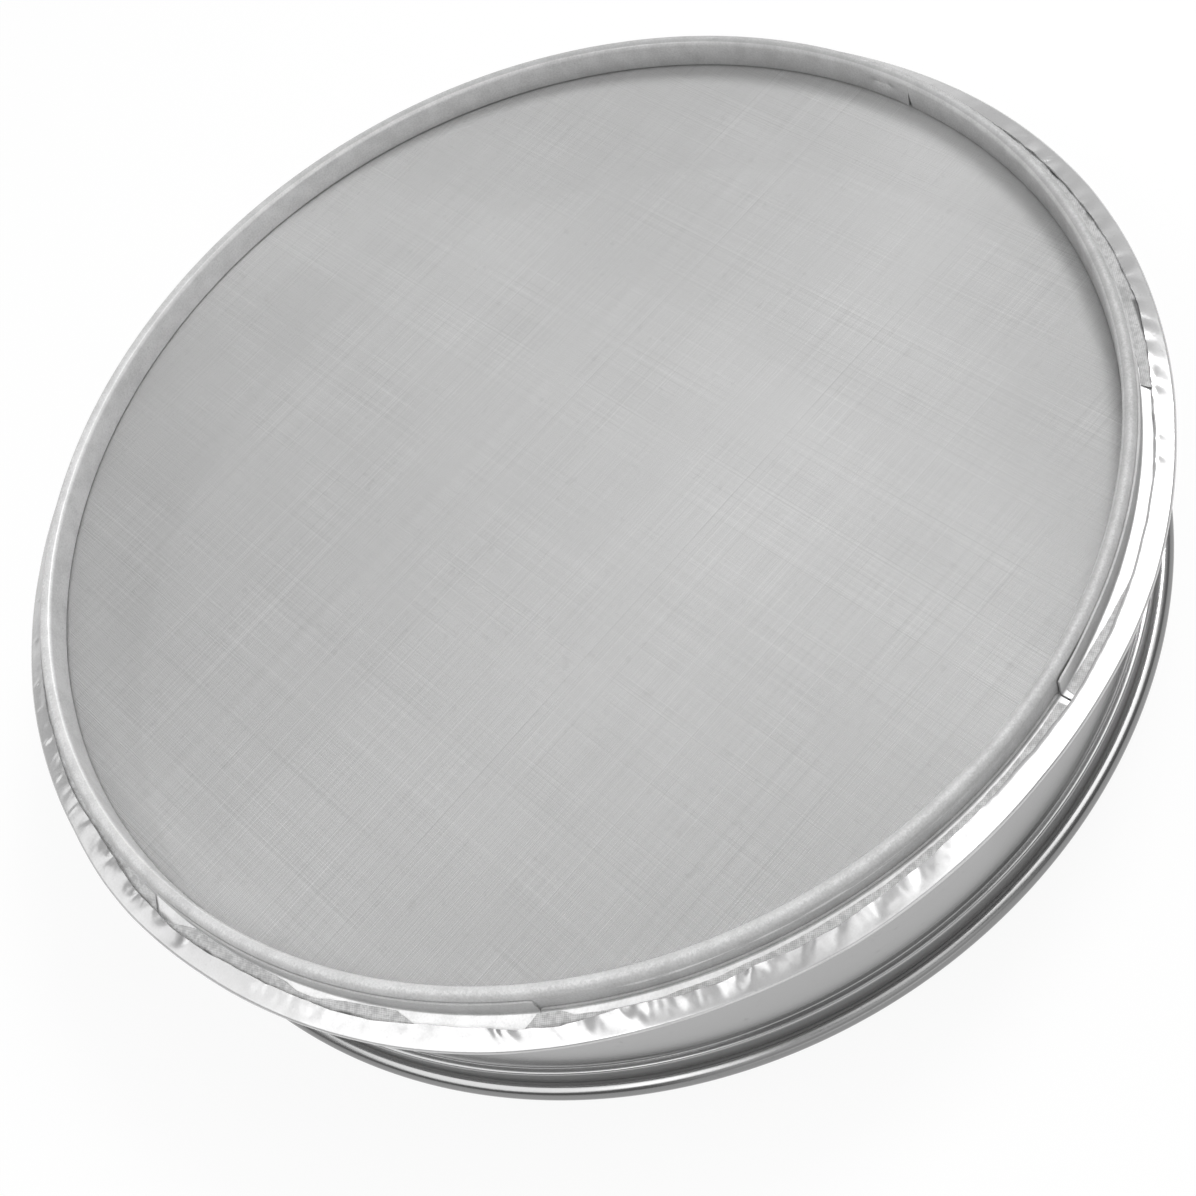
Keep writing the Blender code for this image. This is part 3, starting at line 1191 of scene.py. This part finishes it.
@dataclass
class Skirt:
    """Strip bent over at its crest that stands on the cloth, with its butt joint."""

    zinc: Material
    strip: float = 0.0005
    outer: float = 0.1482
    width: float = 0.0035
    base: float = 0.0515
    crest: float = 0.0605
    joint: float = math.radians(-2.2)
    joint_gap: float = 0.00004
    notch_width: float = 0.0006
    notch_height: float = 0.0050
    notch_reach: float = 0.004
    crack_height: float = 0.0562
    crack_depth: float = 0.00025
    crack_foot: float = 0.0008
    crack_head: float = 0.0003
    crack_span: Point = degrees(-0.5, 3.2)
    sway: float = 0.00012

    def section(self, angle: float) -> Outline:
        """Return the section of the bent strip.

        Args:
            angle: Place on the circle.

        Returns:
            The closed outline.
        """
        middle = (self.width - self.strip) / 2
        centre = self.outer - self.width / 2 + self.sway * ripple(angle, 11, 1.7)
        top = self.crest - self.width / 2 + self.sway * ripple(angle, 15, 6.1) - self.sway
        inner = centre - middle
        along = (turn_between(angle, 0.0) - self.crack_span[0]) / (self.crack_span[1] - self.crack_span[0])
        crack = self.crack_depth * smooth(min(along, 1.0 - along) * 4.0)
        path = [(inner, self.base), (inner, self.crack_height - self.crack_foot)]
        path += [(inner + crack, self.crack_height), (inner, self.crack_height + self.crack_head)]
        path += arc((centre, top), middle, math.pi, -math.pi, 18)
        path += [(centre + middle, (self.base + top) / 2), (centre + middle, self.base)]
        return sheet_outline(path, self.strip)

    def open_notch(self, piece: Object) -> None:
        """Widen the joint towards the foot of the inner wall.

        Args:
            piece: The skirt.
        """
        for vertex in piece.data.vertices:
            place = vertex.co
            radius = math.hypot(place.x, place.y)
            away = turn_between(math.atan2(place.y, place.x), self.joint) * radius
            low = 1.0 - (place.z - self.base) / self.notch_height
            if abs(away) < self.notch_reach and low > 0.0 and radius < self.outer - self.width / 2:
                shift = math.copysign(self.notch_width * low * (1.0 - abs(away) / self.notch_reach), away)
                vertex.co = Matrix.Rotation(shift / radius, 3, "Z") @ place

    def build(self) -> list[Object]:
        """Build and dress the skirt.

        Returns:
            The skirt alone.
        """
        gap = self.joint_gap / self.outer
        span = Span(self.joint + gap / 2, math.tau - gap, 720)
        piece = turned("skirt_channel", self.section, span)
        self.open_notch(piece)
        return [dressed(piece, self.zinc, "skirt_ring")]


@dataclass
class FootStrips:
    """The two angle strips whose foot the lip holds and whose strap lies against the skirt."""

    zinc: Material
    strip: float = 0.0005
    inner: float = 0.14825
    base: float = 0.0515
    foot_edge: float = 0.1533
    long_strap: float = 0.0065
    short_strap: float = 0.0013
    strap_sway: float = 0.00012
    lap: float = math.radians(-136.7)
    lap_gap: float = 0.00012
    slit: float = math.radians(-83.1)
    slit_gap: float = 0.00045
    flare: float = 0.0004
    flare_turn: float = math.radians(7)
    corner: float = 0.0006
    strap_bend: float = 0.0007

    def section(self, angle: float, strap: float, ends: Point) -> Outline:
        """Return the section of one strip.

        Args:
            angle: Place on the circle.
            strap: Height of the strap above the strip's base.
            ends: Angles of the strip's two ends.

        Returns:
            The closed outline.
        """
        from_end = min(angle - ends[0], ends[1] - angle) * self.inner
        rounding = max(0.0, 1.0 - from_end / self.corner)
        top = self.base + strap - self.corner * (1.0 - math.sqrt(1.0 - min(rounding, 0.98) ** 2))
        top += self.strap_sway * ripple(angle, 50, 3.9)
        radius = self.inner + self.strip / 2
        if strap == self.long_strap:
            radius += self.flare * smooth(1.0 - (angle - ends[0]) / self.flare_turn)
        knee = (radius, self.base + self.strip / 2)
        curve = min(self.strap_bend, 0.6 * (top - knee[1]))
        edge = (self.foot_edge, knee[1] - FOOT_SLOPE * (self.foot_edge - radius))
        path = [(radius, top), (radius, (top + knee[1] + curve) / 2)]
        path += bend(path[-1], knee, edge, curve, 4)
        path.append(edge)
        return sheet_outline(path, self.strip)

    def build(self) -> list[Object]:
        """Build and dress both strips.

        Returns:
            The long strip and the short one.
        """
        lap, slit = self.lap_gap / self.inner / 2, self.slit_gap / self.inner / 2
        long_ends = (self.slit + slit, self.lap + math.tau - lap)
        short_ends = (self.lap + lap, self.slit - slit)
        pieces = []
        for node, strap, ends, steps in (
            ("foot_strip_long", self.long_strap, long_ends, 720),
            ("foot_strip_short", self.short_strap, short_ends, 160),
        ):
            name = node.replace("strip", "angle")
            span = Span(ends[0], ends[1] - ends[0], steps)
            piece = turned(name, lambda angle, s=strap, e=ends: self.section(angle, s, e), span)
            pieces.append(dressed(piece, self.zinc, node))
        return pieces


@dataclass(frozen=True)
class Softbox:
    """A round soft lamp aimed at the sieve, sized by the half angle that it fills."""

    name: str
    azimuth: float
    elevation: float
    half_angle: float
    radiance: float
    distance: float = 1.3

    def build(self, target: Vector) -> None:
        """Place the lamp.

        Args:
            target: Point that the lamp faces.
        """
        radius = self.distance * math.tan(self.half_angle)
        data = bpy.data.lights.new(self.name, "AREA")
        data.shape = "DISK"
        data.size = 2 * radius
        data.energy = self.radiance * math.pi * math.pi * radius**2
        lamp = bpy.data.objects.new(self.name, data)
        level = math.cos(self.elevation)
        flat = (level * math.cos(self.azimuth), level * math.sin(self.azimuth))
        away = Vector((*flat, math.sin(self.elevation)))
        lamp.location = target + away * self.distance
        lamp.rotation_euler = away.to_track_quat("Z", "Y").to_euler()
        lamp.visible_camera = False
        bpy.context.scene.collection.objects.link(lamp)


@dataclass
class Studio:
    """Pale floor, soft lamps, dim surroundings and the camera.

    Attributes:
        lamp_table: Name, azimuth from the camera's right, elevation, half angle and radiance.
        horizon_span: Heights of a direction between which the pale horizon fades out.
    """

    azimuth: float = math.radians(-20.5)
    elevation: float = math.radians(54.23)
    roll: float = math.radians(-30.84)
    eye: tuple[float, float, float] = (-0.11411, -0.28179, 0.41121)
    focal_pixels: float = 1775.0
    image_pixels: float = 1196.0
    sensor: float = 36.0
    floor_radius: float = 12.0
    floor_tone: float = 0.92
    floor_glow: float = 0.90
    target: tuple[float, float, float] = (0.0, 0.0, 0.04)
    surround_low: float = 0.20
    surround_high: float = 0.46
    bright_side: tuple[float, float, float] = (0.0, 0.8, 0.6)
    horizon: float = 0.90
    horizon_span: Point = (0.27, 0.40)
    lamp_table: tuple[tuple[str, float, float, float, float], ...] = (
        ("softbox_right", 28, 51, 10, 14.5),
        ("softbox_high_right", -8, 64, 17, 2.4),
        ("softbox_left", 194, 57, 18, 1.65),
        ("softbox_low_left", 150, 42, 13, 1.0),
        ("softbox_top", 283, 70, 9, 1.15),
        ("softbox_front_left", 229, 60, 9, 1.75),
        ("fill_front", 270, 32, 28, 0.55),
    )

    @staticmethod
    def seen(nodes: Nodes) -> NodeSocket:
        """Return 1 for rays from the camera, straight or by way of metal or glass.

        Args:
            nodes: The node helper.

        Returns:
            The mask's value.
        """
        rays = nodes.add("ShaderNodeLightPath").outputs
        mirrored = nodes.calc("MAXIMUM", rays["Is Glossy Ray"], rays["Is Transmission Ray"])
        return nodes.calc("MAXIMUM", rays["Is Camera Ray"], mirrored)

    def floor(self) -> None:
        """Build the floor, which looks paler than its shadow alone would leave it."""
        size = self.floor_radius
        corners = [(-size, -size, 0.0), (size, -size, 0.0), (size, size, 0.0), (-size, size, 0.0)]
        piece = new_piece("studio_floor", corners, [(0, 1, 2, 3)])
        material = bpy.data.materials.new("pale_floor")
        material.use_nodes = True
        nodes = Nodes(material.node_tree)
        matt = nodes.add("ShaderNodeBsdfDiffuse", {"Color": (self.floor_tone,) * 3 + (1.0,)})
        glow = nodes.add("ShaderNodeEmission", {"Strength": 1.0})
        share = nodes.product(self.seen(nodes), self.floor_glow)
        mix = nodes.add("ShaderNodeMixShader", {0: share, 1: matt.outputs[0], 2: glow.outputs[0]})
        nodes.add("ShaderNodeOutputMaterial", {"Surface": mix.outputs[0]})
        piece.data.materials.append(material)

    def surroundings(self) -> None:
        """Light the room: dim behind the camera, brighter on the far side, pale at the horizon."""
        world = bpy.data.worlds.new("studio_room")
        bpy.context.scene.world = world
        world.use_nodes = True
        nodes = Nodes(world.node_tree)
        way = nodes.add("ShaderNodeTexCoord").outputs["Generated"]
        bright = Matrix.Rotation(self.azimuth, 3, "Z") @ Vector(self.bright_side)
        lean = nodes.add("ShaderNodeVectorMath", {0: way, 1: tuple(bright)}, operation="DOT_PRODUCT")
        level = nodes.spread(lean.outputs["Value"], (0.1, 1.0), self.surround_low, self.surround_high)
        low = nodes.spread(nodes.axes(way)[2], self.horizon_span, 1.0, 0.0)
        shown = nodes.spread(nodes.product(low, self.seen(nodes)), (0.0, 1.0), level, self.horizon)
        shader = nodes.add("ShaderNodeBackground", {"Color": shown})
        nodes.add("ShaderNodeOutputWorld", {"Surface": shader.outputs[0]})

    def lamps(self) -> None:
        """Hang the soft lamps."""
        for name, *angles, radiance in self.lamp_table:
            azimuth, elevation, half = degrees(*angles)
            Softbox(name, azimuth + self.azimuth, elevation, half, radiance).build(Vector(self.target))

    def camera(self) -> None:
        """Place the camera at the photograph's viewpoint."""
        data = bpy.data.cameras.new("photo_camera")
        data.sensor_width = self.sensor
        data.lens = self.focal_pixels / self.image_pixels * self.sensor
        data.clip_start = 0.01
        lens = bpy.data.objects.new("photo_camera", data)
        turn = Matrix.Rotation(self.azimuth, 4, "Z") @ Matrix.Rotation(math.pi / 2 - self.elevation, 4, "X")
        lens.matrix_world = Matrix.Translation(self.eye) @ turn @ Matrix.Rotation(self.roll, 4, "Z")
        bpy.context.scene.collection.objects.link(lens)
        bpy.context.scene.camera = lens

    def build(self) -> None:
        """Set the whole studio up."""
        self.floor()
        self.surroundings()
        self.lamps()
        self.camera()
        bpy.context.scene.view_settings.view_transform = "Standard"


def dress_rim_wire(material: Material) -> Object:
    """Give the wire inside the rolled rim its finish.

    Args:
        material: The finish.

    Returns:
        The CAD node.
    """
    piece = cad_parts["rim_wire"]
    piece.data.materials.clear()
    piece.data.materials.append(material)
    return piece


def lip_finish() -> ZincStrip:
    """Return the finish of the crimped lip, darkened under its fold by painted shade."""
    # Painted shade on the fold's underside, which is also rougher.
    under = Zone(Side.BELOW, 0.0512, 0.5, 0.7, 0.3)
    return ZincStrip("crimped_lip_sheet", 0.64, 0.20, 0.7, under, 0.05, 0.000004, uneven=False)


def skirt_finish() -> ZincStrip:
    """Return the finish of the skirt, with its rubbed crest, scuffed outer wall and brighter inner wall.

    Returns:
        The finish.
    """
    inner_wall = Zone(Side.INSIDE, 0.1453, 1.5, 0.8, 0.4)
    scuff = Scuff(*degrees(-129, -84), 0.0569, 0.0011, 0.55)
    rubbed = (0.1468, 0.0012)
    return ZincStrip("galvanised_skirt", 0.53, 0.6, 0.15, inner_wall, rubbed=rubbed, scuffs=(scuff,))


def foot_finish() -> ZincStrip:
    """Return the finish of the foot strips, whose straps are duller than their feet."""
    strap = Zone(Side.INSIDE, 0.1491, 0.64, 0.3, 0.6)
    return ZincStrip("galvanised_foot", 0.84, 0.42, 0.5, strap, contrast=0.07)


def main() -> None:
    """Build the sieve piece by piece, then the studio."""
    logging.basicConfig(level=logging.INFO, format="%(name)s: %(message)s")
    shelf = EffectShelf()
    pieces = Drum(SatinSheet("satin_drum").material(shelf), lip_finish().material(shelf)).build()
    pieces.append(dress_rim_wire(SatinSheet("rim_wire_steel", tone=0.5, roughness=0.4).material(shelf)))
    pieces += WireCloth(ClothWire().material(shelf), HemCloth().material(shelf)).build()
    pieces += Skirt(skirt_finish().material(shelf)).build()
    pieces += FootStrips(foot_finish().material(shelf)).build()
    for piece in pieces:
        LOG.info("%s: %d corners", piece.name, len(piece.data.vertices))
    Studio().build()


if __name__ == "__main__":
    main()
